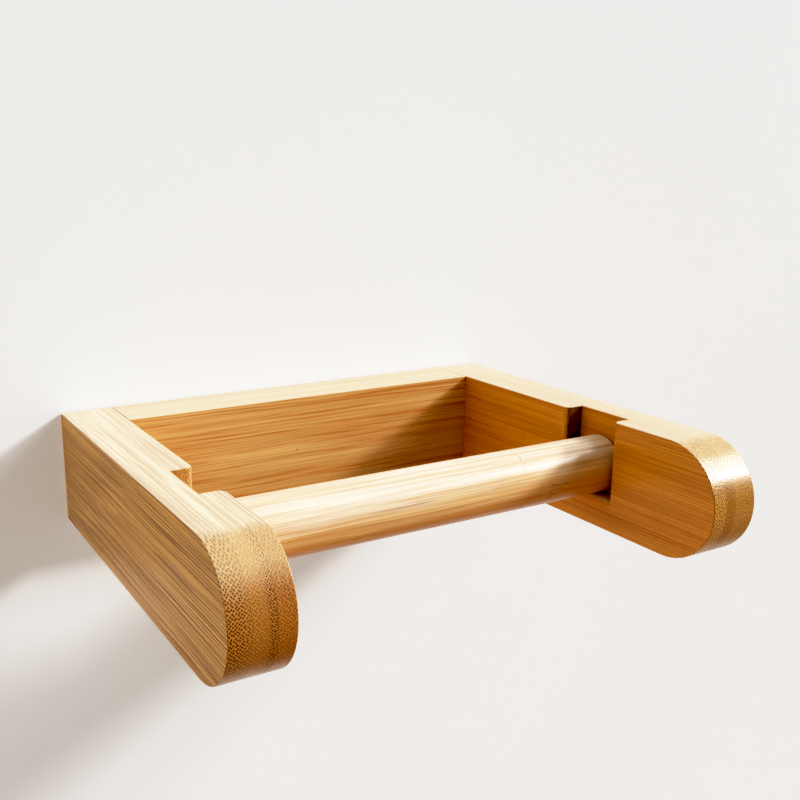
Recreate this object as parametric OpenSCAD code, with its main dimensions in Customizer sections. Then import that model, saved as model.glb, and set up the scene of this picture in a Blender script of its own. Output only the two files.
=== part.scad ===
// Wall-mounted toilet paper holder in laminated bamboo.
// Two arms with round noses run back to the wall, a back board joins them between their rear
// ends, and a loose round roller drops into open-topped slots in the arms' inner faces.
// The board and arms are glued on hidden wooden pins. The holder hangs on two wall screws,
// whose heads enter keyhole plates let into the rear of the back board.
// Frame: X to the right, Y into the wall, Z up. The origin is the centre of the rear face.

/* [Overall] */
// Clear width between the arms
gap_w = 140; // [140:1:180]
// Distance from the wall to the tip of the arms
depth = 145; // [135:1:170]
// Height of the arms and the back board
height = 38.5; // [36:0.5:50]

/* [Boards] */
// Thickness of each arm
arm_t = 18; // [16:0.5:24]
// Thickness of the back board
back_t = 20; // [18:0.5:26]

/* [Roller] */
// Diameter of the roller
roller_d = 20; // [16:0.5:20]
// Gap between each end of the roller and the bottom of its slot's recess
roller_end_gap = 0.5; // [0.3:0.1:1.5]
// Chamfer round the roller's ends
roller_chamfer = 0.8; // [0.4:0.1:1.5]

/* [Slots] */
// Width of each roller slot, from its rear side to its front side
slot_w = 22; // [20.5:0.5:26]
// Distance from the wall to the middle of the slots
slot_centre = 90.5; // [75:0.25:95]
// How far each slot is cut down from the top of the arm
slot_down = 28; // [24:0.5:31]
// How far each slot is cut into the arm's inner face
slot_in = 7; // [5:0.5:9]
// Radius of the slots' bottom corners
slot_corner_r = 1; // [0.5:0.25:3]

/* [Glued pins] */
// Diameter of the wooden pins
pin_d = 8; // [6:0.5:10]
// Length of a pin inside its arm
pin_in_arm = 11; // [8:0.5:12]
// Length of a pin inside the back board
pin_in_board = 18; // [12:0.5:18]
// Height of the pins above and below the middle
pin_z = 9.5; // [8:0.5:10]
// Chamfer on the pins' ends
pin_chamfer = 1; // [0.5:0.25:1.5]

/* [Hangers] */
// Spacing of the two keyholes
hanger_spacing = 90; // [80:1:90]
// Width of a hanger plate
plate_w = 44; // [40:1:46]
// Height of a hanger plate
plate_h = 18; // [17.5:0.5:20]
// Thickness of a hanger plate
plate_t = 1.5; // [1.2:0.1:2]
// Diameter of the hole that a wall screw's head enters
entry_d = 9.2; // [8.5:0.1:9.6]
// Width of the keyhole's neck, which holds the wall screw
neck_w = 4.6; // [4:0.1:5]
// Rise from the entry hole's centre to the top seat of the neck
neck_rise = 7; // [6:0.25:7]

/* [Hanger screws] */
// Length of a hanger screw
screw_l = 12; // [10:1:14]
// Diameter of the screw's shank
screw_d = 3; // [2.5:0.1:3.5]
// Diameter of the screw's countersunk head
screw_head_d = 6; // [5.5:0.1:6.5]
// Distance from a keyhole's centre line to the screws beside it
screw_x = 16; // [14:0.5:16.5]

/* [Hidden] */
$fn = 64;
left = -1;
right = 1;
half_gap = gap_w / 2;
half_h = height / 2;
nose_r = half_h;
slot_floor_z = half_h - slot_down;
roller_z = slot_floor_z + roller_d / 2;
roller_l = gap_w + 2 * (slot_in - roller_end_gap);
pin_y = -back_t / 2;
pin_end_gap = 0.5;
plate_sunk = 0.2;
plate_clearance = 0.3;
plate_corner_r = 3;
keyhole_z = -3;
pocket_w = 11;
pocket_depth = 8;
pocket_h = plate_h - 0.4;
screw_cone_h = (screw_head_d - screw_d) / 2;
screw_tip_h = 3;
cross_w = 0.7;
cross_l = 3.2;
cross_depth = 0.9;
BAMBOO_PALE = "#e0bf8a";
BAMBOO_MID = "#cf9d5c";
BAMBOO_DEEP = "#b97a3a";
BEECH = "#d9b48a";
ZINC = "#b9bcc0";
STEEL = "#9a9da1";

// A bar of stock along Y, seen from its side: Y to the right, Z up
module side_profile() {
    square_l = depth - nose_r;
    translate([-square_l, -half_h]) square([square_l, height]);
    translate([-square_l, 0]) circle(r = nose_r, $fn = 96);
}

// The roller slot's outline in the same view, open at the top
module slot_profile() {
    open_h = slot_down + 1;
    translate([-slot_centre - slot_w / 2, slot_floor_z]) {
        translate([0, slot_corner_r]) square([slot_w, open_h - slot_corner_r]);
        translate([slot_corner_r, 0]) square([slot_w - 2 * slot_corner_r, open_h]);
        for (y = [slot_corner_r, slot_w - slot_corner_r])
            translate([y, slot_corner_r]) circle(r = slot_corner_r);
    }
}

// Stands an outline drawn in the side view on the plane x, thick towards +X
module along_x(x, thick) {
    translate([x, 0, 0]) rotate([90, 0, 90]) linear_extrude(height = thick) children();
}

// A hole or pin for the glued joints: a cylinder along X from x1 to x2
module x_rod(x1, x2, d) {
    translate([x1, pin_y, 0]) rotate([0, 90, 0]) cylinder(h = x2 - x1, d = d);
}

// One arm, drawn for the right side with its inner face at x = half_gap
module arm_shape() {
    difference() {
        along_x(half_gap, arm_t) side_profile();
        along_x(half_gap - 1, slot_in + 1) slot_profile();
        for (z = [-pin_z, pin_z])
            translate([0, 0, z]) x_rod(half_gap - 1, half_gap + pin_in_arm + pin_end_gap, pin_d);
    }
}

module left_arm() {
    color(BAMBOO_MID) mirror([1, 0, 0]) arm_shape();
}

module right_arm() {
    color(BAMBOO_DEEP) arm_shape();
}

// A rectangle with round corners, centred, standing in the XZ plane from y1 to y2
module rear_slab(w, h, r, y1, y2) {
    translate([0, y2, 0]) rotate([90, 0, 0]) linear_extrude(height = y2 - y1) {
        square([w - 2 * r, h], center = true);
        square([w, h - 2 * r], center = true);
        for (x = [-1, 1], z = [-1, 1])
            translate([x * (w / 2 - r), z * (h / 2 - r)]) circle(r = r);
    }
}

// A cylinder along Y from y1 to y2
module y_rod(x, z, y1, y2, d) {
    translate([x, y1, z]) rotate([-90, 0, 0]) cylinder(h = y2 - y1, d = d);
}

// The space behind a keyhole where the wall screw's head slides up
module head_pocket() {
    y1 = -plate_sunk - plate_t - pocket_depth;
    end_z = (pocket_h - pocket_w) / 2;
    for (z = [-end_z, end_z]) y_rod(0, z, y1, 0, pocket_w);
    translate([-pocket_w / 2, y1, -end_z]) cube([pocket_w, -y1, 2 * end_z]);
}

// The recess for one hanger plate, its pocket and its screws' pilot holes
module hanger_recess() {
    floor_y = -plate_sunk - plate_t;
    rear_slab(plate_w + plate_clearance, plate_h + plate_clearance,
              plate_corner_r + plate_clearance / 2, floor_y, 1);
    head_pocket();
    for (x = [-screw_x, screw_x])
        screw_at(x, -plate_sunk);
}

module back_board() {
    color(BAMBOO_MID) difference() {
        translate([-half_gap, -back_t, -half_h]) cube([gap_w, back_t, height]);
        for (side = [left, right]) {
            translate([side * hanger_spacing / 2, 0, 0]) hanger_recess();
            for (z = [-pin_z, pin_z]) {
                inner = half_gap - pin_in_board - pin_end_gap;
                translate([0, 0, z])
                    x_rod(side > 0 ? inner : -half_gap - 1, side > 0 ? half_gap + 1 : -inner, pin_d);
            }
        }
    }
}

// The roller, along X between the two slots
module roller() {
    flat_r = roller_d / 2 - roller_chamfer;
    color(BAMBOO_PALE) translate([0, -slot_centre, roller_z]) rotate([0, 90, 0])
        rotate_extrude($fn = 96) polygon([
            [0, -roller_l / 2], [flat_r, -roller_l / 2],
            [roller_d / 2, -roller_l / 2 + roller_chamfer],
            [roller_d / 2, roller_l / 2 - roller_chamfer],
            [flat_r, roller_l / 2], [0, roller_l / 2]]);
}

// One wooden pin across a joint, with chamfered ends
module pin(side, z) {
    pin_l = pin_in_arm + pin_in_board;
    middle = half_gap + (pin_in_arm - pin_in_board) / 2;
    flat_r = pin_d / 2 - pin_chamfer;
    color(BEECH) translate([side * middle, pin_y, z]) rotate([0, 90, 0]) rotate_extrude()
        polygon([
            [0, -pin_l / 2], [flat_r, -pin_l / 2],
            [pin_d / 2, -pin_l / 2 + pin_chamfer],
            [pin_d / 2, pin_l / 2 - pin_chamfer],
            [flat_r, pin_l / 2], [0, pin_l / 2]]);
}

// The keyhole through a plate: a round entry and a narrow neck above it
module keyhole() {
    y1 = -plate_sunk - plate_t - 1;
    y_rod(0, keyhole_z, y1, 1, entry_d);
    y_rod(0, keyhole_z + neck_rise, y1, 1, neck_w);
    translate([-neck_w / 2, y1, keyhole_z]) cube([neck_w, 1 - y1, neck_rise]);
}

// One steel hanger plate, sunk just below the board's rear face
module hanger(side) {
    color(ZINC) translate([side * hanger_spacing / 2, 0, 0]) difference() {
        rear_slab(plate_w, plate_h, plate_corner_r, -plate_sunk - plate_t, -plate_sunk);
        keyhole();
        for (x = [-screw_x, screw_x]) screw_at(x, -plate_sunk);
    }
}

// A countersunk screw's outline at x: flat head at rear_y, point towards the room
module screw_at(x, rear_y) {
    translate([x, rear_y, 0]) rotate([90, 0, 0]) rotate_extrude()
        polygon([
            [0, 0], [screw_head_d / 2, 0],
            [screw_d / 2, screw_cone_h], [screw_d / 2, screw_l - screw_tip_h],
            [0, screw_l]]);
}

// One hanger screw with a cross recess in its head
module hanger_screw(x) {
    color(STEEL) difference() {
        screw_at(x, -plate_sunk);
        translate([x, -plate_sunk, 0]) for (turn = [0, 90]) rotate([0, turn, 0])
            translate([-cross_l / 2, -cross_depth, -cross_w / 2]) cube([cross_l, 1 + cross_depth, cross_w]);
    }
}

back_board();
left_arm();
right_arm();
roller();
pin(left, pin_z);  // left_upper_pin
pin(left, -pin_z);  // left_lower_pin
pin(right, pin_z);  // right_upper_pin
pin(right, -pin_z);  // right_lower_pin
hanger(left);  // left_hanger
hanger(right);  // right_hanger
hanger_screw(-hanger_spacing / 2 - screw_x);  // left_outer_screw
hanger_screw(-hanger_spacing / 2 + screw_x);  // left_inner_screw
hanger_screw(hanger_spacing / 2 - screw_x);  // right_inner_screw
hanger_screw(hanger_spacing / 2 + screw_x);  // right_outer_screw
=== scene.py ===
"""Looks for a wall-mounted toilet paper holder in laminated bamboo.

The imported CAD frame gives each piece's place and outer size. The constants give what a box can't
tell: corner radii, the keyholes' and screws' shapes, and how far edges are eased. Each visible
part gets a refined mesh, and the wood is one solid pattern per part: fibre bundles that run along
the grain, so they show as dots where the grain is cut across and as streaks where it isn't.
Frame: X to the right, Y into the wall, Z up, in metres.
"""
import math

import bmesh
import bpy
from mathutils import Matrix, Vector


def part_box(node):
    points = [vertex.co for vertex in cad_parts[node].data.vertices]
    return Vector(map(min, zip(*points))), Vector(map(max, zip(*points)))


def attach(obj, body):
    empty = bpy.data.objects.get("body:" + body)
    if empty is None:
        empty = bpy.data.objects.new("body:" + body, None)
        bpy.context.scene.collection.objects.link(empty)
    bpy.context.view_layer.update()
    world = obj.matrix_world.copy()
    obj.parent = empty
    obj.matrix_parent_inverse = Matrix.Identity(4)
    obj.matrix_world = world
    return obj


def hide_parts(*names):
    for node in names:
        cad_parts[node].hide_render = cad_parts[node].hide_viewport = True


MM = 0.001
RIGHTWARDS = Vector((1, 0, 0))
UPWARDS = Vector((0, 0, 1))
OUTWARDS = Vector((0, -1, 0))

# Camera, in metres and degrees
CAMERA_AT = (-0.1630, -0.3285, 0.1034)
CAMERA_YAW = -29.2
CAMERA_PITCH = -13.8
CAMERA_LENS = 43.55
CAMERA_SENSOR = 36
CAMERA_SHIFT_X = 0.081
CAMERA_NEAR = 0.01

# Eased edges, in mm
ARRIS = 0.35
SLOT_ARRIS = 2.2
BUTT_ARRIS = 0.18
PLATE_ARRIS = 0.15
ROLLER_ROUND = 0.8

# Segments across an eased edge
ARRIS_STEPS = 3
SLOT_ARRIS_STEPS = 4
FINE_ARRIS_STEPS = 2

# Steps along arcs and round solids
NOSE_STEPS = 72
SMALL_CORNER_STEPS = 6
PLATE_CORNER_STEPS = 8
ENTRY_STEPS = 32
NECK_STEPS = 16
ROLLER_SEGMENTS = 128
ROLLER_LENGTHS = 8
SCREW_SEGMENTS = 48

# Angles between faces that are merged, that are eased, and up to which shading runs on
FLAT_ANGLE = math.radians(0.5)
SHARP_ANGLE = math.radians(30)
SMOOTH_ANGLE = math.radians(50)

# Blender's settings for an arc across an eased edge, and for normals led by the largest faces
ROUND_PROFILE = 0.5
LARGE_FACES_LEAD = 100

# Distances at which two points count as one, and as lying in one plane, in metres
SAME_POINT = 1e-6
SAME_PLANE = 1e-5

# Room between the roller and its slots, in mm
SLOT_SIDE_ROOM = 1.0
SLOT_END_ROOM = 0.5
SLOT_CORNER_R = 1.0

# Hangers, in mm
KEYHOLE_Z = -3.0
ENTRY_D = 9.2
NECK_W = 4.6
NECK_RISE = 7.0
PLATE_CORNER_R = 3.0
RECESS_ROOM = 0.15
POCKET_W = 11.0
POCKET_H = 17.6
POCKET_DEPTH = 8.0

# Hanger screws, in mm
SCREW_HEAD_D = 6.0
SCREW_SHANK_D = 3.0
SCREW_TIP_L = 3.0
SCREW_RIM = 0.12
SINK_ROOM = 0.03
CROSS_L = 3.2
CROSS_W = 0.7
CROSS_DEPTH = 0.9

# How far a cutter stands out of the wood or metal that it cuts, in mm
WOOD_CUTTER_OUT = 5.0
METAL_CUTTER_OUT = 1.0

# Bamboo: the fibres' wander in mm, with its rates along the grain and across it in steps per mm,
# and the slope at which the fibres run out of the surface
DRIFT_RATES = (0.02, 0.07)
SHAKE_RATES = (0.11, 0.6)
DRIFT_ACROSS = 1.2
DRIFT_DEEP = 0.9
SHAKE_ACROSS = 0.2
WANDER_DETAIL = 1.0
RUN_OUT = 0.004

# Bamboo: how squarely a surface faces along or across the grain where it starts to count as each
# kind of face, and where it fully does. An end's limit wavers, so that it has no straight edge.
CUT_FACING = (0.03, 0.25)
EDGE_FACING = (0.3, 0.9)
RIM_ALONG_FACING = (0.0, 0.34)
RIM_ACROSS_FACING = (0.15, 0.45)
END_FACING = (0.62, 0.98)
END_WAVER = 0.2

# Bamboo: the bundles' spacing in mm with the shares of it between which each bundle fades out,
# and how far the bundles are scattered out of their rows
COARSE_ROWS = (0.74, 0.19, 0.45)
FINE_ROWS = (0.54, 0.2, 0.52)
ROW_SCATTER = 0.42

# Bamboo: streaks, by the fibres' width and length in mm and detail, and by the noise's levels
# where a streak starts and is full
FIBRE_ROUGHNESS = 0.6
HAIR = (0.42, 70.0, 0.0)
DARK_HAIR = (0.55, 0.62)
LIGHT_HAIR = (0.44, 0.34)
LINE = (1.3, 75.0, 2.0)
LINE_LEVELS = (0.5, 0.64)
BAND = (5.0, 180.0, 2.0)
BAND_LEVELS = (0.36, 0.64)

# Bamboo: strips, plies and the lines between them in mm, and the places in the stack between
# which the side tone turns into the inner tone
STRIP_W = 19.5
STRIP_SHIFT = 7.0
SEAM_WANDER = 0.3
SEAM_FRAY = (1.1, 26.0, 2.0)
GLUE_LINE = (0.03, 0.14)
INNER_LEVEL = (0.45, 0.55)

# Bamboo: dashes beside a growth node and the scar across it, with sizes in mm. A core is the
# share of a mark's reach where it is at full strength.
DASH_W = 0.6
DASH_DETAIL = 1.0
DASH_LEVELS = (0.56, 0.66)
DASH_CORE_ALONG = 0.5
DASH_CORE_DEEP = 0.6
SCAR_BEND = 3.0
SCAR_BEND_RATE = 0.6
SCAR_LINE = (0.1, 0.45)
SCAR_CORE = 0.5
SCAR_BREAKS = (0.9, 4.0, 1.0)
SCAR_LEVELS = (0.42, 0.56)
SCAR_STRENGTH = 0.4

# Bamboo: how strongly the parts of the pattern show
RIM_TINT = 0.25
CUT_LEAST = 0.7
HAIR_LOST_ON_EDGE = 0.55
END_DOTS_LEAST = 0.5
TONE_LEAST = 0.93
STRIP_TONE = 0.1
LIGHT_HAIR_TONE = 0.4
BAMBOO_SHEEN = 0.5
BAMBOO_ROUGHNESS = 0.25
DOT_ROUGHNESS = 0.14
HAIR_ROUGHNESS = 0.06
DOT_HEIGHT = -0.7
HAIR_HEIGHT = -0.4
GLUE_HEIGHT = -0.1
WOOD_BUMP = (0.5, 0.00005)

# Beech: noise rates per mm along X and across it, roughness as a least and an added part, and
# display colours
FLECK_RATES = (0.6, 4.0)
FLECK_DETAIL = 3.0
FLECK_LEVELS = (0.58, 0.7)
FLECK_SHARE = 0.6
BEECH_BAND_RATES = (0.05, 0.9)
BEECH_BAND_LEVELS = (0.3, 0.7)
BEECH_ROUGHNESS = (0.5, 0.15)
BEECH_PALE = (222, 190, 150)
BEECH_DARK = (203, 164, 120)
BEECH_FLECK = (150, 104, 66)

# Metal: noise rates per metre, with a grain's along X and Z, and display colours
MOTTLE_RATE = 900.0
MOTTLE_DETAIL = 4.0
DRAWN_RATE_Y = 3000.0
DRAWN_DETAIL = 3.0
METAL_LEVELS = (0.35, 0.65)
METAL_DARKER = 0.8
METAL_ROUGHER = 0.18
METAL_BUMP = (0.25, 0.00003)
ZINC = (206, 209, 214)
ZINC_GRAIN = (120.0, 2600.0)
ZINC_ROUGHNESS = 0.28
STEEL = (196, 197, 200)
STEEL_GRAIN = (1500.0, 1500.0)
STEEL_ROUGHNESS = 0.3

# Wall and floor, in metres and display colours
WALL_GAP = 0.0004
STAGE_HALF = 2.0
FLOOR_Z = -0.65
WALL_TINTS = ((222, 225, 228), (225, 228, 230))
WALL_MOTTLE_RATE = 6
WALL_ROUGHNESS = 0.8
WALL_SHEEN = 0.2
# The wall's glow: painted light that lifts the shadows on it
WALL_GLOW = 0.36
WALL_CLEAR_NEAR = 0.003
FLOOR_TINTS = ((205, 203, 199), (211, 209, 205))
FLOOR_BOUNCE = (160, 124, 90)
FLOOR_MOTTLE_RATE = 5
FLOOR_ROUGHNESS = 0.6

# Distant lights: name, the way they come from, share of full light, and width in degrees
FULL_SUN = math.pi
SUNS = (("key", (0.77, -0.46, 0.435), 0.85, 8.0),
        ("window", (0.76, -0.3, 0.575), 0.72, 22.0),
        ("rear", (-0.35, 0.75, 0.55), 0.6, 12.0))

# Light from all round: the way it comes from, its share and its tint
WHITE = (1.0, 1.0, 1.0)
WARM = (1.0, 0.88, 0.62)
ROOM_LOBES = (((1, 0, 0), 1.05, WHITE), ((-1, 0, 0), 1.0, WARM), ((0, 0, 1), 0.25, WHITE),
              ((0, 0, -1), 0.6, WARM), ((0, -1, 0), 0.25, WHITE), ((0, 1, 0), 0.7, WHITE))

# The dimming of light that comes from below the horizon, and the height at which it's full and
# the height at which it has gone
BELOW_TINT = (0.4, 0.32, 0.24)
HORIZON = (-0.25, 0.08)

# What the camera sees past the stage
BACKDROP_TINT = (1.0, 1.0, 0.99)
BACKDROP = 1.3

# The picture's tone curve
CONTRAST_GAMMA = 0.82
BLACK_LEVEL = 0.045
WHITE_LEVEL = 1.6
SHOULDER = ((0.1, 0.155), (0.2, 0.31), (0.4, 0.61), (0.6, 0.84), (0.8, 0.955))


# ---------------------------------------------------------------- meshes

def link(name, data):
    """Puts an object with the given data in the scene."""
    obj = bpy.data.objects.new(name, data)
    bpy.context.scene.collection.objects.link(obj)
    return obj


def new_object(name, bm):
    """Turns a bmesh into an object in the scene."""
    mesh = bpy.data.meshes.new(name)
    bm.to_mesh(mesh)
    bm.free()
    return link(name, mesh)


def new_solid(name, bm):
    """Turns a closed bmesh into an object, with its faces turned outwards."""
    bmesh.ops.recalc_face_normals(bm, faces=bm.faces)
    return new_object(name, bm)


def prism(outline, to_point, low, high):
    """A bmesh solid between two planes, from an outline of (a, b) points.

    to_point(a, b, c) gives the 3-D point, with c the distance of a plane.
    """
    bm = bmesh.new()
    ends = [[bm.verts.new(to_point(a, b, c)) for a, b in outline] for c in (low, high)]
    count = len(outline)
    for ring in ends:
        bm.faces.new(ring)
    for i in range(count):
        j = (i + 1) % count
        bm.faces.new((ends[0][i], ends[0][j], ends[1][j], ends[1][i]))
    return bm


def side_prism(outline, low_x, high_x):
    """A prism of a YZ outline between two X planes."""
    return prism(outline, lambda a, b, c: Vector((c, a, b)), low_x, high_x)


def rear_prism(outline, front_y, rear_y):
    """A prism of an XZ outline between two Y planes."""
    return prism(outline, lambda a, b, c: Vector((a, c, b)), front_y, rear_y)


def lathe(profile, axis_point, axis, segments):
    """A bmesh solid of revolution about a level axis.

    profile is (distance along the axis, radius) from one end to the other.
    """
    bm = bmesh.new()
    side = axis.cross(UPWARDS)
    rings = []
    for along, radius in profile:
        centre = axis_point + axis * along
        if radius == 0:
            rings.append([bm.verts.new(centre)])
            continue
        turns = [2 * math.pi * i / segments for i in range(segments)]
        rings.append([bm.verts.new(centre + radius * (math.cos(t) * UPWARDS + math.sin(t) * side))
                      for t in turns])
    for first, second in zip(rings, rings[1:]):
        for i in range(segments):
            j = (i + 1) % segments
            corners = [first[i % len(first)], first[j % len(first)],
                       second[j % len(second)], second[i % len(second)]]
            bm.faces.new(list(dict.fromkeys(corners)))
    return bm


def arc(centre, radius, start, end, steps):
    """Points on an arc, with angles in degrees."""
    angles = [math.radians(start + (end - start) * i / steps) for i in range(steps + 1)]
    return [(centre[0] + radius * math.cos(t), centre[1] + radius * math.sin(t)) for t in angles]


def round_rectangle(centre, width, height, radius):
    """The outline of a rectangle with round corners."""
    a, b = width / 2 - radius, height / 2 - radius
    corners = [(a, b, 0), (-a, b, 90), (-a, -b, 180), (a, -b, 270)]
    return [p for x, z, turn in corners
            for p in arc((centre[0] + x, centre[1] + z), radius, turn, turn + 90,
                         PLATE_CORNER_STEPS)]


def shifted(outline, x):
    """An outline moved along its first axis."""
    return [(a + x, b) for a, b in outline]


def cut(obj, *cutters):
    """Subtracts each cutter from obj and removes it."""
    for cutter in cutters:
        modifier = obj.modifiers.new("cut", "BOOLEAN")
        modifier.operation = "DIFFERENCE"
        modifier.solver = "EXACT"
        modifier.object = cutter
        bpy.context.view_layer.update()
        result = bpy.data.meshes.new_from_object(
            obj.evaluated_get(bpy.context.evaluated_depsgraph_get()))
        obj.modifiers.clear()
        obj.data = result
        bpy.data.objects.remove(cutter)


def ease(obj, width, segments, chosen=None, clamp=True):
    """Rounds the sharp outer edges of a mesh. chosen(edge) narrows them down."""
    bm = bmesh.new()
    bm.from_mesh(obj.data)
    bmesh.ops.remove_doubles(bm, verts=bm.verts, dist=SAME_POINT)
    bmesh.ops.dissolve_limit(bm, angle_limit=FLAT_ANGLE, verts=bm.verts, edges=bm.edges)
    edges = [e for e in bm.edges if e.is_manifold and e.is_convex
             and e.calc_face_angle() > SHARP_ANGLE and (chosen is None or chosen(e))]
    bmesh.ops.bevel(bm, geom=edges, offset=width, offset_type="OFFSET", segments=segments,
                    profile=ROUND_PROFILE, affect="EDGES", clamp_overlap=clamp)
    bm.to_mesh(obj.data)
    bm.free()


def smooth(obj):
    """Smooth shading that keeps flat faces flat beside their eased edges."""
    for polygon in obj.data.polygons:
        polygon.use_smooth = True
    obj.data.set_sharp_from_angle(angle=SMOOTH_ANGLE)
    modifier = obj.modifiers.new("weighted normals", "WEIGHTED_NORMAL")
    modifier.keep_sharp = True
    modifier.weight = LARGE_FACES_LEAD


# ---------------------------------------------------------------- node graphs

def rgb(red, green, blue):
    """A linear colour from 0 to 255 display values."""
    def linear(value):
        value /= 255
        return value / 12.92 if value <= 0.04045 else ((value + 0.055) / 1.055) ** 2.4
    return (linear(red), linear(green), linear(blue), 1.0)


class Graph:
    """Builds a shader graph. Values may be numbers, colours or other nodes' outputs."""

    def __init__(self, owner):
        owner.use_nodes = True
        self.owner = owner
        self.tree = owner.node_tree
        self.tree.nodes.clear()

    def node(self, kind, inputs=None, **settings):
        """A new node, with its inputs given by name or number."""
        made = self.tree.nodes.new("ShaderNode" + kind)
        for key, value in settings.items():
            setattr(made, key, value)
        for key, value in (inputs or {}).items():
            self.put(made.inputs[key], value)
        return made

    def put(self, socket, value):
        """Links a node's output to a socket, or sets the socket to a number or colour."""
        if isinstance(value, bpy.types.NodeSocket):
            self.tree.links.new(value, socket)
        else:
            socket.default_value = value

    def calc(self, operation, a, b=0.0):
        return self.node("Math", {0: a, 1: b}, operation=operation).outputs[0]

    def add(self, a, b):
        return self.calc("ADD", a, b)

    def times(self, a, b):
        return self.calc("MULTIPLY", a, b)

    def one_minus(self, value):
        return self.calc("SUBTRACT", 1.0, value)

    def swing(self, value, amount):
        """Turns a level from 0 to 1 into a shift of up to half the amount either way."""
        return self.times(self.add(value, -0.5), amount)

    def smoothstep(self, value, low, high, to_low=0.0, to_high=1.0):
        """Rises from to_low to to_high as the value goes from low to high."""
        inputs = {0: value, 1: low, 2: high, 3: to_low, 4: to_high}
        return self.node("MapRange", inputs, interpolation_type="SMOOTHSTEP").outputs[0]

    def fade(self, value, low, high):
        """Falls from 1 to 0 as the value goes from low to high."""
        return self.smoothstep(value, low, high, 1.0, 0.0)

    def near(self, value, middle, core, reach):
        """1 up to the core distance from the middle, and 0 beyond its reach."""
        return self.fade(self.calc("ABSOLUTE", self.add(value, -middle)), core, reach)

    def vector(self, x, y, z):
        return self.node("CombineXYZ", {0: x, 1: y, 2: z}).outputs[0]

    def split(self, vector):
        return self.node("SeparateXYZ", {0: vector}).outputs

    def scaled(self, values, rates):
        """A vector of three values, each times its own rate."""
        return self.vector(*(self.times(v, rate) for v, rate in zip(values, rates)))

    def place_in_mm(self):
        """X, Y and Z of the shaded point in its object, in mm."""
        point = self.split(self.node("TexCoord").outputs["Object"])
        return [self.times(v, 1 / MM) for v in point]

    def mix(self, factor, a, b, blend="MIX"):
        made = self.node("Mix", {0: factor, 6: a, 7: b}, data_type="RGBA", blend_type=blend)
        return made.outputs[2]

    def ramp(self, value, stops):
        """A grey level read from (position, level) stops."""
        made = self.node("ValToRGB", {0: value})
        elements = made.color_ramp.elements
        while len(elements) < len(stops):
            elements.new(0.5)
        for element, (position, level) in zip(elements, stops):
            element.position = position
            element.color = (level, level, level, 1)
        return made.outputs[0]

    def noise(self, vector, detail=2.0, rough=0.5):
        """The outputs of a noise: Fac, and three more levels as Color."""
        inputs = {"Vector": vector, "Scale": 1.0, "Detail": detail, "Roughness": rough}
        return self.node("TexNoise", inputs).outputs

    def cells(self, vector, randomness):
        """The distance to the nearest of a grid's scattered points."""
        inputs = {"Vector": vector, "Scale": 1.0, "Randomness": randomness}
        return self.node("TexVoronoi", inputs, voronoi_dimensions="2D").outputs["Distance"]

    def mottle(self, rate, tints):
        """A cloudy mix of two nearly equal paints."""
        point = self.node("TexCoord").outputs["Object"]
        inputs = {"Vector": point, "Scale": (rate, rate, rate)}
        cloud = self.noise(self.node("Mapping", inputs).outputs[0])["Fac"]
        return self.mix(cloud, rgb(*tints[0]), rgb(*tints[1]))

    def finish(self, shader_inputs, height=None, bump=WOOD_BUMP):
        """Ends the graph with a Principled shader. bump is the height's strength and distance."""
        shader = self.node("BsdfPrincipled", shader_inputs)
        if height is not None:
            bumped = self.node("Bump", {"Strength": bump[0], "Distance": bump[1], "Height": height})
            self.put(shader.inputs["Normal"], bumped.outputs[0])
        self.node("OutputMaterial", {0: shader.outputs[0]})
        return self.owner


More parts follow.
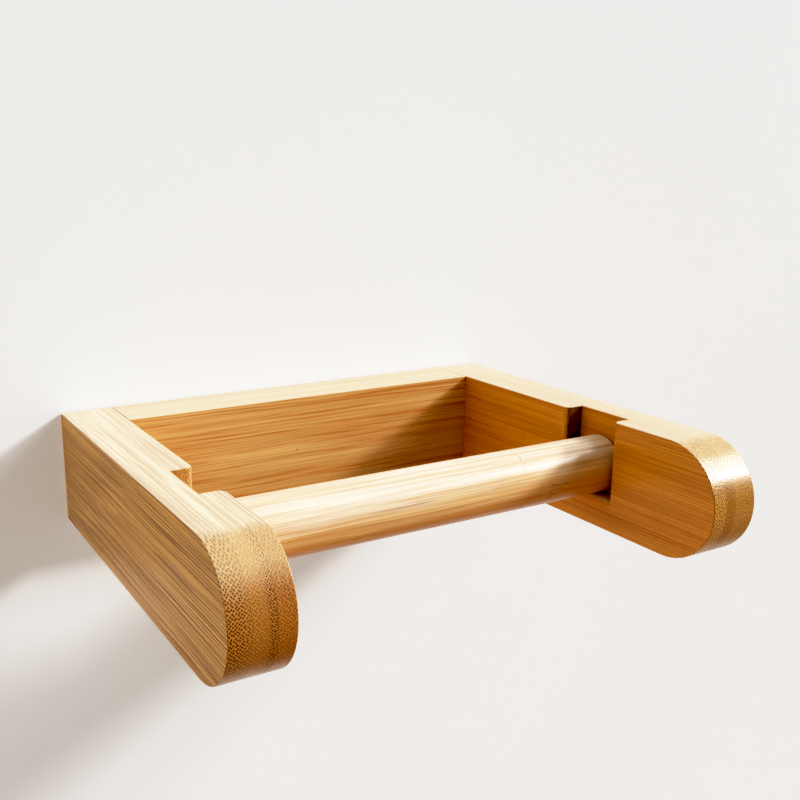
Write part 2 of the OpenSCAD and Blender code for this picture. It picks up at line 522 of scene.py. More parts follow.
class Bamboo(Graph):
    """Laminated bamboo as a solid pattern.

    coordinates(graph, x, y, z, facing) gives the place along the grain, across the strips and
    through the plies, in mm, and how far the surface faces along the grain and across the strips.
    look holds the colours, the plies and the strength of each kind of mark, as listed further on.
    """

    def __init__(self, name, coordinates, look, seed):
        super().__init__(bpy.data.materials.new(name))
        self.look = look
        self.seed = seed
        x, y, z = self.place_in_mm()
        normal = self.node("TexCoord").outputs["Normal"]
        facing = [self.calc("ABSOLUTE", v) for v in self.split(normal)]
        placed = coordinates(self, x, y, z, facing)
        self.along, self.across, self.deep, along_facing, across_facing = placed
        self.level = self.times(self.deep, 1 / look["stack"])

        # Kinds of face: cut across the grain, strips' edges, the rim between these, square ends.
        self.cut_across = self.smoothstep(along_facing, *CUT_FACING)
        self.lengthwise = self.one_minus(self.cut_across)
        self.edge = self.smoothstep(across_facing, *EDGE_FACING)
        self.quiet = self.one_minus(self.times(self.edge, look["edge_quiet"]))
        self.rim = self.times(self.smoothstep(along_facing, *RIM_ALONG_FACING),
                              self.smoothstep(across_facing, *RIM_ACROSS_FACING))
        self.wander = self.split(self.grain_noise(DRIFT_RATES)["Color"])
        wavering = self.add(along_facing, self.swing(self.wander[1], END_WAVER))
        self.end = self.smoothstep(wavering, *END_FACING)

        # The fibres wander slowly, and run out of the surface at a slight slope.
        shake = self.grain_noise(SHAKE_RATES)["Fac"]
        drifted = self.add(self.across, self.swing(self.wander[0], DRIFT_ACROSS))
        self.across_fibre = self.add(drifted, self.swing(shake, SHAKE_ACROSS))
        sunk = self.add(self.deep, self.swing(self.wander[1], DRIFT_DEEP))
        self.deep_fibre = self.add(sunk, self.times(self.along, RUN_OUT))

    def grain_noise(self, rates):
        """A noise with its own rate along the grain and across it."""
        along_rate, cross_rate = rates
        return self.noise(self.vector(self.add(self.times(self.along, along_rate), self.seed),
                                      self.times(self.across, cross_rate),
                                      self.times(self.deep, cross_rate)), WANDER_DETAIL)

    def fibres(self, width, length, detail):
        """A noise of fibres with a width and length in mm, which follow the wander."""
        vector = self.vector(self.add(self.times(self.along, 1 / length), self.seed),
                             self.times(self.across_fibre, 1 / width),
                             self.times(self.deep_fibre, 1 / width))
        return self.noise(vector, detail, FIBRE_ROUGHNESS)["Fac"]

    def rows(self, spacing, core, reach):
        """Bundles in staggered rows: 1 on a bundle, 0 between bundles."""
        step = math.sqrt(0.5) / spacing
        total = self.add(self.across_fibre, self.deep_fibre)
        difference = self.calc("SUBTRACT", self.across_fibre, self.deep_fibre)
        vector = self.vector(self.add(self.times(total, step), self.seed),
                             self.times(difference, step), 0.0)
        return self.fade(self.cells(vector, ROW_SCATTER), core, reach)

    def bundles(self):
        """Fibre bundles, coarse or fine and strong or faint by their place in the stack."""
        fine_share = self.ramp(self.level, self.look["fineness"])
        dark_share = self.ramp(self.level, self.look["darkness"])
        dots = self.add(self.times(self.rows(*COARSE_ROWS), self.one_minus(fine_share)),
                        self.times(self.rows(*FINE_ROWS), fine_share))
        return self.times(dots, dark_share)

    def lamination(self):
        """The plies' tint, the glue lines between them, and a random tone for each strip."""
        ply_tints = self.look["ply_tints"]
        softness, raggedness, slope = self.look["seam"]
        ragged = self.add(self.swing(self.wander[2], SEAM_WANDER),
                          self.swing(self.fibres(*SEAM_FRAY), raggedness))
        glue = 0.0
        ply_number = 0.0
        tint = ply_tints[0]
        for start, ply_tint in zip(self.look["ply_starts"], ply_tints[1:]):
            past = self.add(self.add(self.deep, self.times(self.along, slope)),
                            self.add(-start, ragged))
            glue_line = self.fade(self.calc("ABSOLUTE", past), *GLUE_LINE)
            glue = self.calc("MAXIMUM", glue, glue_line)
            ply_number = self.add(ply_number, self.calc("GREATER_THAN", past, 0.0))
            tint = self.mix(self.smoothstep(past, -softness, softness), tint, ply_tint)
        staggered = self.add(self.across, self.times(ply_number, STRIP_SHIFT))
        strip_number = self.calc("FLOOR", self.times(staggered, 1 / STRIP_W))
        strip = {"Vector": self.vector(strip_number, ply_number, self.seed)}
        strip_tone = self.node("TexWhiteNoise", strip, noise_dimensions="3D").outputs["Value"]
        return tint, glue, strip_tone

    def dashes(self):
        """Dark dashes in patches, as beside a growth node."""
        dash = 0.0
        for at_along, at_deep, reach_along, reach_deep, length, share in self.look["dashes"]:
            fibre = self.fibres(DASH_W, length, DASH_DETAIL)
            flecks = self.smoothstep(fibre, *DASH_LEVELS, 0.0, share)
            core_along = reach_along * DASH_CORE_ALONG
            core_deep = reach_deep * DASH_CORE_DEEP
            patch = self.times(self.near(self.along, at_along, core_along, reach_along),
                               self.near(self.deep, at_deep, core_deep, reach_deep))
            dash = self.calc("MAXIMUM", dash, self.times(patch, flecks))
        return dash

    def scars(self):
        """Thin broken lines across the grain, as at a growth node."""
        scar = 0.0
        for at_along, at_across, reach_across in self.look["scars"]:
            bend_noise = self.noise(self.vector(self.times(self.across, SCAR_BEND_RATE),
                                                self.seed, 0.0))["Fac"]
            bent = self.add(self.along, self.swing(bend_noise, SCAR_BEND))
            core_across = reach_across * SCAR_CORE
            mark = self.times(self.near(bent, at_along, *SCAR_LINE),
                              self.near(self.across, at_across, core_across, reach_across))
            broken = self.smoothstep(self.fibres(*SCAR_BREAKS), *SCAR_LEVELS)
            scar = self.calc("MAXIMUM", scar, self.times(mark, broken))
        return scar

    def base(self, tint, band):
        """The colour of each kind of face, before its streaks, dots and lines."""
        tones = self.look["tones"]
        # On the arms, the half of the stack at the face turned left, away from the key light, has
        # the more saturated tone: partly painted shade.
        base = self.mix(self.smoothstep(self.level, *INNER_LEVEL), tones["side"], tones["inner"])
        # The edge tone is pale partly from the strips' edge grain and partly as a painted highlight
        # on the top faces; the bottom faces take it too.
        base = self.mix(self.edge, base, tones["edge"])
        base = self.mix(self.rim, base, tones["rim"])
        base = self.mix(self.end, base, tones["end"])
        end_tint = self.calc("MAXIMUM", self.times(self.rim, RIM_TINT), self.end)
        tint_share = self.calc("MAXIMUM", end_tint, self.look["side_tint"])
        base = self.mix(tint_share, base, tint, "MULTIPLY")
        for from_along, to_along, share, cut_tone in self.look["cuts"]:
            inside = self.times(self.calc("GREATER_THAN", self.along, from_along),
                                self.calc("LESS_THAN", self.along, to_along))
            uneven = self.add(CUT_LEAST, self.times(band, 1 - CUT_LEAST))
            cut_share = self.times(self.times(inside, uneven), self.times(self.end, share))
            base = self.mix(cut_share, base, cut_tone)
        return base

    def material(self):
        """The finished material, with its marks from the broadest to the finest."""
        hair = self.fibres(*HAIR)
        dark_hair = self.smoothstep(hair, *DARK_HAIR)
        light_hair = self.times(self.smoothstep(hair, *LIGHT_HAIR), self.lengthwise)
        line = self.smoothstep(self.fibres(*LINE), *LINE_LEVELS)
        band = self.smoothstep(self.fibres(*BAND), *BAND_LEVELS)
        dots = self.bundles()
        tint, glue, strip_tone = self.lamination()
        hair_share, line_share, band_share = self.look["streaks"]
        end_dots, side_dots = self.look["dots"]
        bundle = self.look["tones"]["bundle"]

        broad = self.times(self.add(self.times(line, line_share), self.times(band, band_share)),
                           self.quiet)
        thin_share = self.one_minus(self.times(self.edge, HAIR_LOST_ON_EDGE))
        thin = self.times(dark_hair, self.times(thin_share, hair_share))
        streaks = self.times(self.lengthwise, self.add(thin, broad))
        colour = self.mix(streaks, self.base(tint, band), self.look["tones"]["streak"])

        squareness = self.add(END_DOTS_LEAST, self.times(self.end, 1 - END_DOTS_LEAST))
        on_ends = self.times(self.times(self.cut_across, end_dots), squareness)
        on_sides = self.times(self.times(self.lengthwise, self.quiet), side_dots)
        colour = self.mix(self.times(dots, self.add(on_ends, on_sides)), colour, bundle)
        colour = self.mix(self.times(glue, self.look["glue"]), colour, bundle)
        colour = self.mix(self.dashes(), colour, bundle)
        colour = self.mix(self.times(self.scars(), SCAR_STRENGTH), colour, bundle)

        lighter = self.add(self.times(strip_tone, STRIP_TONE),
                           self.times(light_hair, hair_share * LIGHT_HAIR_TONE))
        tone = self.add(TONE_LEAST, lighter)
        colour = self.mix(1.0, colour, self.vector(tone, tone, tone), "MULTIPLY")
        rougher = self.add(self.times(dots, DOT_ROUGHNESS), self.times(dark_hair, HAIR_ROUGHNESS))
        lines = self.add(self.times(dark_hair, HAIR_HEIGHT), self.times(glue, GLUE_HEIGHT))
        height = self.add(self.times(dots, DOT_HEIGHT), lines)
        return self.finish({"Base Color": colour, "Roughness": self.add(BAMBOO_ROUGHNESS, rougher),
                            "Specular IOR Level": BAMBOO_SHEEN}, height)


def arm_coordinates(outer_x):
    """Grain along Y, strips across Z, plies from the outer face inwards."""
    def coordinates(g, x, y, z, facing):
        return y, z, g.calc("ABSOLUTE", g.add(x, -outer_x)), facing[1], facing[2]
    return coordinates


def cross_coordinates(front_y):
    """Grain along X, strips across Z, plies from the front face backwards."""
    def coordinates(g, x, y, z, facing):
        return x, z, g.add(y, -front_y), facing[0], facing[2]
    return coordinates


def roller_coordinates(axis_y, top_z):
    """Grain along X, plies from the top down. A turned bar has no separate edge grain."""
    def coordinates(g, x, y, z, facing):
        # Plies counted from the top down carry the roller's pale top and amber underside, partly
        # painted highlight and shade.
        return x, g.add(y, -axis_y), g.calc("SUBTRACT", top_z, z), facing[0], 0.0
    return coordinates


def brushed_metal(name, shade, grain, rough):
    """Zinc plated steel: a faint crystalline mottle and a fine drawn grain.

    grain is the grain's rates along X and Z. A low rate along X draws it out into lines.
    """
    g = Graph(bpy.data.materials.new(name))
    point = g.split(g.node("TexCoord").outputs["Object"])
    mottle = g.noise(g.scaled(point, (MOTTLE_RATE,) * 3), MOTTLE_DETAIL)["Fac"]
    drawn = g.noise(g.scaled(point, (grain[0], DRAWN_RATE_Y, grain[1])), DRAWN_DETAIL)["Fac"]
    colour = rgb(*shade)
    darker = tuple(c * METAL_DARKER for c in colour[:3]) + (1.0,)
    share = g.add(g.times(mottle, 0.5), g.times(drawn, 0.5))
    tint = g.mix(g.smoothstep(share, *METAL_LEVELS), darker, colour)
    roughness = g.add(rough, g.times(mottle, METAL_ROUGHER))
    return g.finish({"Base Color": tint, "Roughness": roughness, "Metallic": 1.0}, drawn, METAL_BUMP)


def beech(name):
    """Plain turned beech for the glued pins: short flecks along X."""
    g = Graph(bpy.data.materials.new(name))
    point = g.place_in_mm()
    along, across = FLECK_RATES
    fleck = g.noise(g.scaled(point, (along, across, across)), FLECK_DETAIL)["Fac"]
    along, across = BEECH_BAND_RATES
    band = g.noise(g.scaled(point, (along, across, across)))["Fac"]
    colour = g.mix(g.smoothstep(band, *BEECH_BAND_LEVELS), rgb(*BEECH_PALE), rgb(*BEECH_DARK))
    flecked = g.smoothstep(fleck, *FLECK_LEVELS, 0.0, FLECK_SHARE)
    colour = g.mix(flecked, colour, rgb(*BEECH_FLECK))
    roughness = g.add(BEECH_ROUGHNESS[0], g.times(fleck, BEECH_ROUGHNESS[1]))
    return g.finish({"Base Color": colour, "Roughness": roughness}, fleck)


# ---------------------------------------------------------------- the bamboo's looks
#
# tones       side and inner: long faces in the first and second half of the stack; on the arms
#             the one at the face turned left, away from the key light, is more saturated, partly
#             as painted shade,
#             edge: faces along the strips' edges, pale partly from their grain and partly as a
#             painted highlight on the top faces, rim: where an end turns into such a face,
#             end: squarely cut ends, streak and bundle: the marks
# stack       thickness of all plies together, in mm
# ply_starts  where the second and third plies start, in mm
# ply_tints   a tint for each ply, which shows on the ends
# seam        how softly a ply ends and how ragged its end is, in mm, and its slope along the grain
# side_tint   how much of the plies' tints the other faces take
# glue        strength of the lines between plies
# fineness    share of fine rows of bundles, by place in the stack
# darkness    strength of the bundles, by place in the stack
# streaks     strength of hair lines, lines and broad bands on long faces
# dots        strength of the bundles on ends and on long faces
# edge_quiet  how much of their marks the edge faces lose
# dashes      place along and deep, reach along and deep, length in mm, and strength
# scars       place along and across, and reach across, in mm
# cuts        a tone for a slot's cross-cut walls: from and to along the grain in mm, strength and
#             tone. The left slot's walls are paler than the nose, and the right slot's rear wall
#             is much darker.

NO_TINT = (1.0, 1.0, 1.0, 1.0)
LEFT_LOOK = {
    # The side tone, on the outer face turned left and away from the key light, is the more saturated
    # one: partly painted shade.
    "tones": {"side": rgb(232, 180, 95), "inner": rgb(228, 180, 118),
              "edge": rgb(236, 215, 184), "rim": rgb(222, 188, 142), "end": rgb(196, 143, 84),
              "streak": rgb(166, 104, 46), "bundle": rgb(74, 34, 10)},
    "stack": 18.0, "ply_starts": (6.2, 12.6),
    "ply_tints": (NO_TINT, (0.98, 0.97, 0.95, 1), (0.95, 0.88, 0.82, 1)),
    "seam": (0.05, 0.0, 0.0), "side_tint": 0.2, "glue": 0.25,
    "fineness": [(0.0, 0.0), (0.4, 0.1), (0.58, 1.0), (0.69, 0.9), (0.72, 0.3), (1.0, 0.3)],
    "darkness": [(0.0, 1.0), (0.22, 0.9), (0.34, 0.6), (0.56, 0.6), (0.63, 1.0), (0.69, 1.0),
                 (0.73, 0.65), (1.0, 0.75)],
    "streaks": (0.56, 0.1, 0.12), "dots": (0.98, 0.42), "edge_quiet": 0.9,
    "dashes": (), "scars": (), "cuts": ((-103.0, -78.5, 0.7, rgb(228, 186, 122)),),
}
RIGHT_LOOK = dict(LEFT_LOOK, **{
    # The inner tone, on the face turned left and away from the key light, is the more saturated one:
    # partly painted shade.
    "tones": {"side": rgb(228, 180, 118), "inner": rgb(229, 166, 84),
              "edge": rgb(236, 213, 180), "rim": rgb(230, 196, 148), "end": rgb(207, 158, 84),
              "streak": rgb(188, 116, 46), "bundle": rgb(74, 34, 10)},
    "ply_starts": (8.7, 12.6),
    "ply_tints": (NO_TINT, (0.84, 0.77, 0.68, 1), (1.04, 1.04, 1.04, 1)),
    "seam": (0.5, 1.0, 0.0),
    "fineness": [(0.0, 0.25), (0.68, 0.4), (0.72, 0.0), (1.0, 0.0)],
    "darkness": [(0.0, 0.95), (0.45, 0.8), (0.6, 0.9), (0.73, 0.9), (1.0, 1.0)],
    "streaks": (0.2, 0.22, 0.26), "dots": (0.92, 0.2),
    # The right slot's rear wall takes a dark brown tone.
    "cuts": ((-80.5, -78.5, 0.85, rgb(78, 40, 18)),),
})
BOARD_LOOK = {
    "tones": {"side": rgb(225, 188, 130), "inner": rgb(225, 188, 130),
              "edge": rgb(231, 209, 175), "rim": rgb(214, 170, 112), "end": rgb(190, 132, 78),
              "streak": rgb(186, 120, 60), "bundle": rgb(96, 44, 12)},
    "stack": 20.0, "ply_starts": (6.7, 13.3), "ply_tints": (NO_TINT, NO_TINT, NO_TINT),
    "seam": (0.05, 0.0, 0.0), "side_tint": 0.2, "glue": 0.25,
    "fineness": [(0.0, 0.2), (0.5, 1.0), (1.0, 0.2)],
    "darkness": [(0.0, 0.5), (0.33, 0.9), (0.5, 0.4), (1.0, 0.9)],
    "streaks": (0.22, 0.42, 0.34), "dots": (0.6, 0.2), "edge_quiet": 0.75,
    "dashes": (), "scars": ((-7.0, 0.2, 1.6),), "cuts": (),
}
# The roller's top ply is pale and its lower plies are tinted amber on every face, with the seam
# rising towards the right end: partly real plies, partly a painted highlight on top and painted
# shade below and towards the right end.
ROLLER_LOOK = {
    "tones": {"side": rgb(249, 233, 211), "inner": rgb(249, 233, 211),
              "edge": rgb(249, 233, 211), "rim": rgb(226, 190, 132), "end": rgb(210, 164, 106),
              "streak": rgb(212, 160, 96), "bundle": rgb(96, 46, 14)},
    "stack": 20.0, "ply_starts": (7.6, 12.6),
    "ply_tints": (NO_TINT, (0.92, 0.77, 0.54, 1), (0.81, 0.52, 0.24, 1)),
    "seam": (2.8, 8.0, 0.04), "side_tint": 1.0, "glue": 0.0,
    "fineness": [(0.0, 0.5), (0.5, 1.0), (1.0, 0.2)],
    "darkness": [(0.0, 0.4), (0.3, 0.5), (0.5, 0.4), (1.0, 0.6)],
    "streaks": (0.34, 0.3, 0.24), "dots": (0.6, 0.12), "edge_quiet": 0.0,
    "dashes": ((49.0, 12.0, 5.0, 5.0, 6.0, 0.55), (-48.0, 9.0, 22.0, 2.2, 40.0, 0.3),
               (-16.0, 7.6, 20.0, 1.6, 40.0, 0.3)),
    "scars": ((36.0, -3.0, 7.0),), "cuts": (),
}
# A place in the noise for each part, so that no two parts share a pattern
SEEDS = {"left_arm": 3.1, "right_arm": 11.7, "back_board": 23.4, "roller": 41.9}


# ---------------------------------------------------------------- parts

def slot_limits():
    """The slots' front, rear and floor, and the right slot's outer end, from the roller's box."""
    low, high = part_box("roller")
    room = SLOT_SIDE_ROOM * MM
    return low.y - room, high.y + room, low.z, high.x + SLOT_END_ROOM * MM


def make_arm(node, side):
    """One arm: a round-nosed bar with the roller's slot cut into its inner face."""
    low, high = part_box(node)
    nose_r = (high.z - low.z) / 2
    middle = (high.z + low.z) / 2
    outline = [(high.y, high.z)]
    outline += arc((low.y + nose_r, middle), nose_r, 90, 270, NOSE_STEPS)
    outline += [(high.y, low.z)]
    obj = new_solid(node + ".wood", side_prism(outline, low.x, high.x))

    front, rear, floor, outer_end = slot_limits()
    corner = SLOT_CORNER_R * MM
    inner_x = side * min(abs(low.x), abs(high.x))
    out = WOOD_CUTTER_OUT * MM
    slot = [(rear, high.z + out), (front, high.z + out)]
    slot += arc((front + corner, floor + corner), corner, 180, 270, SMALL_CORNER_STEPS)
    slot += arc((rear - corner, floor + corner), corner, 270, 360, SMALL_CORNER_STEPS)
    cutter_ends = sorted((inner_x - side * out, side * outer_end))
    cut(obj, new_solid("slot_cutter", side_prism(slot, *cutter_ends)))

    def at_mouth(edge):
        """Whether an edge is one of the slot's sides or floor edge on the inner face."""
        inside = all(abs(v.co.x - inner_x) < SAME_PLANE for v in edge.verts)
        between = all(front - SAME_PLANE < v.co.y < rear + SAME_PLANE for v in edge.verts)
        return inside and between and any(v.co.z < high.z - SAME_PLANE for v in edge.verts)

    ease(obj, SLOT_ARRIS * MM, SLOT_ARRIS_STEPS, at_mouth, clamp=False)
    ease(obj, ARRIS * MM, ARRIS_STEPS)
    smooth(obj)
    return obj


def make_board():
    """The back board, with the recesses and pockets for the hangers in its rear."""
    low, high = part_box("back_board")
    outline = [(low.x, low.z), (high.x, low.z), (high.x, high.z), (low.x, high.z)]
    obj = new_solid("back_board.wood", rear_prism(outline, low.y, high.y))

    def at_end(edge):
        """Whether an edge lies on one of the board's ends, where it butts against an arm."""
        return all(min(abs(v.co.x - low.x), abs(v.co.x - high.x)) < SAME_PLANE
                   for v in edge.verts)

    ease(obj, BUTT_ARRIS * MM, FINE_ARRIS_STEPS, at_end)
    ease(obj, ARRIS * MM, ARRIS_STEPS)
    beyond = high.y + WOOD_CUTTER_OUT * MM
    room = RECESS_ROOM * MM
    for node in ("left_hanger", "right_hanger"):
        a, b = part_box(node)
        x = (a.x + b.x) / 2
        recess = round_rectangle((x, (a.z + b.z) / 2), b.x - a.x + 2 * room,
                                 b.z - a.z + 2 * room, PLATE_CORNER_R * MM + room)
        # Its corners are just under half its width, so that no two of its points meet.
        pocket = round_rectangle((x, 0), POCKET_W * MM, POCKET_H * MM,
                                 POCKET_W / 2 * MM - SAME_POINT)
        cut(obj, new_solid("recess_cutter", rear_prism(recess, a.y, beyond)),
            new_solid("pocket_cutter", rear_prism(pocket, a.y - POCKET_DEPTH * MM, beyond)))
    smooth(obj)
    return obj


def make_roller():
    """The loose roller, with softly rounded ends."""
    low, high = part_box("roller")
    radius = (high.z - low.z) / 2
    length = high.x - low.x
    soft = ROLLER_ROUND * MM
    first = [(0, 0), (0, (radius - soft) / 2)]
    first += arc((soft, radius - soft), soft, 180, 90, SMALL_CORNER_STEPS)
    body = [(length * i / ROLLER_LENGTHS, radius) for i in range(1, ROLLER_LENGTHS)]
    profile = first + body + [(length - a, r) for a, r in reversed(first)]
    start = Vector((low.x, (low.y + high.y) / 2, (low.z + high.z) / 2))
    obj = new_solid("roller.wood", lathe(profile, start, RIGHTWARDS, ROLLER_SEGMENTS))
    smooth(obj)
    return obj


def keyhole_outline():
    """A round entry with a narrow neck rising from it, about the origin."""
    r, half = ENTRY_D / 2 * MM, NECK_W / 2 * MM
    z = KEYHOLE_Z * MM
    turn = math.degrees(math.acos(half / r))
    points = arc((0, z), r, 180 - turn, 360 + turn, ENTRY_STEPS)
    return points + arc((0, z + NECK_RISE * MM), half, 0, 180, NECK_STEPS)


def screw_profile(length, grow=0.0):
    """(distance, radius) of a countersunk screw from its head to its point."""
    head, shank = SCREW_HEAD_D / 2 * MM + grow, SCREW_SHANK_D / 2 * MM + grow
    rim = SCREW_RIM * MM
    return [(0, 0), (0, head - rim), (rim, head), (head - shank + rim, shank),
            (length - SCREW_TIP_L * MM, shank), (length, 0)]


def make_hanger(node, screws):
    """A keyhole plate with countersunk screw holes."""
    low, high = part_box(node)
    x = (low.x + high.x) / 2
    out = METAL_CUTTER_OUT * MM
    outline = round_rectangle((x, (low.z + high.z) / 2), high.x - low.x, high.z - low.z,
                              PLATE_CORNER_R * MM)
    obj = new_solid(node + ".plate", rear_prism(outline, low.y, high.y))
    keyhole = shifted(keyhole_outline(), x)
    cut(obj, new_solid("keyhole_cutter", rear_prism(keyhole, low.y - out, high.y + out)))
    for screw in screws:
        a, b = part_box(screw)
        head = Vector(((a.x + b.x) / 2, high.y, 0))
        # The cutter is a slightly larger screw whose head goes on out of the plate.
        profile = screw_profile(b.y - a.y, SINK_ROOM * MM)
        profile = [(-out, 0), (-out, profile[1][1])] + profile[1:]
        cut(obj, new_solid("sink_cutter", lathe(profile, head, OUTWARDS, SCREW_SEGMENTS)))
    ease(obj, PLATE_ARRIS * MM, FINE_ARRIS_STEPS)
    smooth(obj)
    return obj


def make_screw(node):
    """A countersunk screw with a cross recess in its head."""
    low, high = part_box(node)
    head = Vector(((low.x + high.x) / 2, high.y, 0))
    profile = screw_profile(high.y - low.y)
    obj = new_solid(node + ".metal", lathe(profile, head, OUTWARDS, SCREW_SEGMENTS))
    long, short = CROSS_L / 2 * MM, CROSS_W / 2 * MM
    cross = [(long, short), (short, short), (short, long), (-short, long), (-short, short),
             (-long, short), (-long, -short), (-short, -short), (-short, -long), (short, -long),
             (short, -short), (long, -short)]
    cutter = rear_prism(shifted(cross, head.x), high.y - CROSS_DEPTH * MM,
                        high.y + METAL_CUTTER_OUT * MM)
    cut(obj, new_solid("cross_cutter", cutter))
    smooth(obj)
    return obj


# ---------------------------------------------------------------- stage

def wall_material():
    """White paint that also glows a little: painted light that lifts the shadows on it. It can't be
    seen from behind, nor from closer than a few millimetres.
    """
    g = Graph(bpy.data.materials.new("wall_paint"))
    tint = g.mottle(WALL_MOTTLE_RATE, WALL_TINTS)
    coat = g.node("BsdfPrincipled", {"Base Color": tint, "Roughness": WALL_ROUGHNESS,
                                     "Specular IOR Level": WALL_SHEEN,
                                     "Emission Color": tint, "Emission Strength": WALL_GLOW})
    away = g.node("NewGeometry").outputs["Backfacing"]
    near = g.calc("LESS_THAN", g.node("LightPath").outputs["Ray Length"], WALL_CLEAR_NEAR)
    clear = g.node("BsdfTransparent").outputs[0]
    share = g.calc("MAXIMUM", away, near)
    shown = g.node("MixShader", {0: share, 1: coat.outputs[0], 2: clear})
    g.node("OutputMaterial", {0: shown.outputs[0]})
    return g.owner


def floor_material():
    """Pale paint. The light it bounces is dimmer and warmer, as from a large dim room."""
    g = Graph(bpy.data.materials.new("floor_paint"))
    tint = g.mottle(FLOOR_MOTTLE_RATE, FLOOR_TINTS)
    seen = g.node("LightPath").outputs["Is Camera Ray"]
    colour = g.mix(seen, rgb(*FLOOR_BOUNCE), tint)
    return g.finish({"Base Color": colour, "Roughness": FLOOR_ROUGHNESS})


def plane(name, corners, material):
    """A flat stage piece. It faces the side from which its corners run anticlockwise."""
    bm = bmesh.new()
    bm.faces.new([bm.verts.new(c) for c in corners])
    obj = new_object(name, bm)
    obj.data.materials.append(material)


def sun(name, way, share, angle):
    """A distant light from the direction way. A share of 1 lights a white surface fully."""
    data = bpy.data.lights.new(name, "SUN")
    data.energy = share * FULL_SUN
    data.angle = math.radians(angle)
    link(name, data).rotation_euler = Vector(way).to_track_quat("Z", "Y").to_euler()


def make_room_light():
    """Soft light from all round: most from the sides, warmer from the left, and dim from below."""
    world = bpy.data.worlds.new("room")
    g = Graph(world)
    way = g.node("TexCoord").outputs["Generated"]
    light = (0.0, 0.0, 0.0)
    for axis, share, tint in ROOM_LOBES:
        facing = g.node("VectorMath", {0: way, 1: axis}, operation="DOT_PRODUCT").outputs["Value"]
        lobe = g.times(g.calc("POWER", g.calc("MAXIMUM", facing, 0.0), 2.0), share)
        tinted = g.node("VectorMath", {0: tint, "Scale": lobe}, operation="SCALE").outputs[0]
        light = g.node("VectorMath", {0: light, 1: tinted}, operation="ADD").outputs[0]
    above = g.smoothstep(g.split(way)[2], *HORIZON)
    dimmed = g.mix(above, BELOW_TINT + (1.0,), WHITE + (1.0,))
    light = g.node("VectorMath", {0: light, 1: dimmed}, operation="MULTIPLY").outputs[0]
    room = g.node("Background", {0: light, 1: 1.0})
    backdrop = g.node("Background", {0: BACKDROP_TINT + (1.0,), 1: BACKDROP})
    seen = g.node("LightPath").outputs["Is Camera Ray"]
    shown = g.node("MixShader", {0: seen, 1: room.outputs[0], 2: backdrop.outputs[0]})
    g.node("OutputWorld", {0: shown.outputs[0]})
    bpy.context.scene.world = world


def set_tone_curve():
    """A contrasty curve with deep shadows and soft highlights, as in the photo."""
    view = bpy.context.scene.view_settings
    view.view_transform = "Standard"
    view.look = "None"
    view.gamma = CONTRAST_GAMMA
    view.use_curve_mapping = True
    curves = view.curve_mapping
    curves.black_level = (BLACK_LEVEL,) * 3
    curves.white_level = (WHITE_LEVEL,) * 3
    combined = curves.curves[3]
    for position, level in SHOULDER:
        combined.points.new(position, level)
    curves.update()


def make_stage():
    """The wall behind the holder, the floor far below it, the light and the tone curve."""
    w, y, z = STAGE_HALF, WALL_GAP, FLOOR_Z
    plane("wall", [(-w, y, z), (w, y, z), (w, y, w), (-w, y, w)], wall_material())
    plane("floor", [(-w, -w, z), (w, -w, z), (w, w, z), (-w, w, z)], floor_material())
    for name, way, share, angle in SUNS:
        sun(name, way, share, angle)
    make_room_light()
    set_tone_curve()


def make_camera():
    """The camera, where the photo's stood."""
    data = bpy.data.cameras.new("camera")
    data.sensor_width = CAMERA_SENSOR
    data.lens = CAMERA_LENS
    data.shift_x = CAMERA_SHIFT_X
    data.clip_start = CAMERA_NEAR
    obj = link("camera", data)
    obj.location = CAMERA_AT
    turn = Matrix.Rotation(math.radians(CAMERA_YAW), 4, "Z")
    tilt = Matrix.Rotation(math.radians(90 + CAMERA_PITCH), 4, "X")
    obj.rotation_euler = (turn @ tilt).to_euler()
    bpy.context.scene.camera = obj


# ---------------------------------------------------------------- the holder

def paint(piece, material):
    """Gives a piece one material."""
    piece.data.materials.clear()
    piece.data.materials.append(material)


def place(piece, node, body, material):
    """Puts a finished piece in its CAD node's place."""
    paint(piece, material)
    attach(piece, body)
    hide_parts(node)


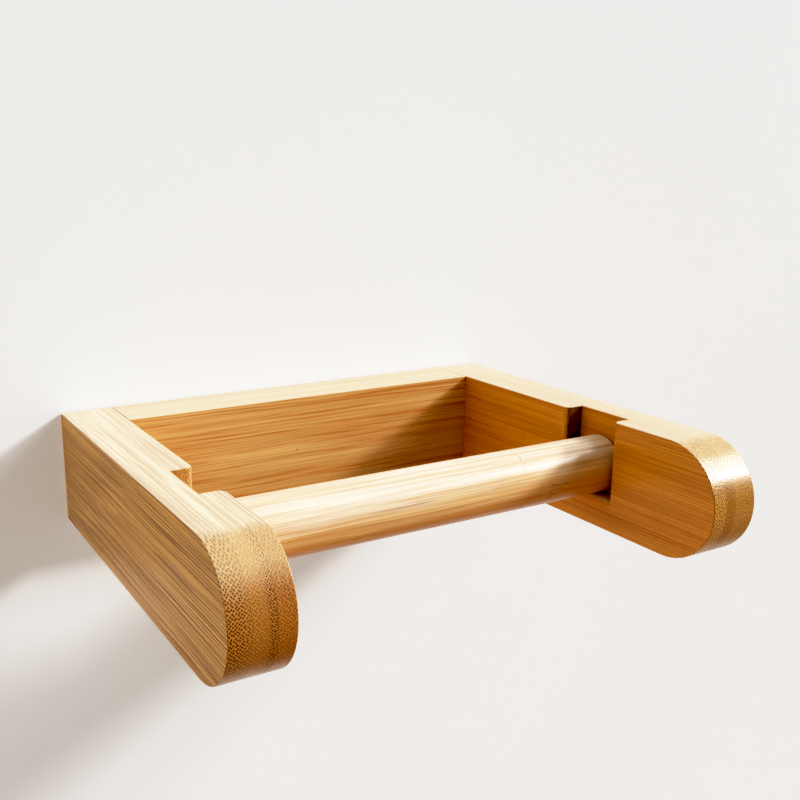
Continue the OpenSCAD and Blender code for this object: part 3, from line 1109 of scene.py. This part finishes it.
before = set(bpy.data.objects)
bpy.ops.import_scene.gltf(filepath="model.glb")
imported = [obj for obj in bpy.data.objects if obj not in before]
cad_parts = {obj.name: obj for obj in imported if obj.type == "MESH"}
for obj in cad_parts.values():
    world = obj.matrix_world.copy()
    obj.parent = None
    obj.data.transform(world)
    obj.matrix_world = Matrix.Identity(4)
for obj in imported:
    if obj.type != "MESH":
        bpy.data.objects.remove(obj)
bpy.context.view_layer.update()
make_camera()
make_stage()

left_outer_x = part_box("left_arm")[0].x / MM
right_outer_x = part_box("right_arm")[1].x / MM
board_front_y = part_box("back_board")[0].y / MM
roller_low, roller_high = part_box("roller")
roller_y = (roller_low.y + roller_high.y) / 2 / MM
roller_top_z = roller_high.z / MM

left_wood = Bamboo("bamboo_left_arm", arm_coordinates(left_outer_x),
                   LEFT_LOOK, SEEDS["left_arm"]).material()
right_wood = Bamboo("bamboo_right_arm", arm_coordinates(right_outer_x),
                    RIGHT_LOOK, SEEDS["right_arm"]).material()
board_wood = Bamboo("bamboo_back_board", cross_coordinates(board_front_y),
                    BOARD_LOOK, SEEDS["back_board"]).material()
roller_wood = Bamboo("bamboo_roller", roller_coordinates(roller_y, roller_top_z),
                     ROLLER_LOOK, SEEDS["roller"]).material()
pin_wood = beech("beech_pin")
zinc = brushed_metal("zinc_plate", ZINC, ZINC_GRAIN, ZINC_ROUGHNESS)
steel = brushed_metal("screw_steel", STEEL, STEEL_GRAIN, STEEL_ROUGHNESS)

place(make_arm("left_arm", -1), "left_arm", "holder", left_wood)
place(make_arm("right_arm", 1), "right_arm", "holder", right_wood)
place(make_board(), "back_board", "holder", board_wood)
place(make_roller(), "roller", "roller", roller_wood)
for side in ("left", "right"):
    screws = [side + "_outer_screw", side + "_inner_screw"]
    hanger = side + "_hanger"
    place(make_hanger(hanger, screws), hanger, "holder", zinc)
    for screw in screws:
        place(make_screw(screw), screw, "holder", steel)
    for height in ("upper", "lower"):
        paint(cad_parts[side + "_" + height + "_pin"], pin_wood)
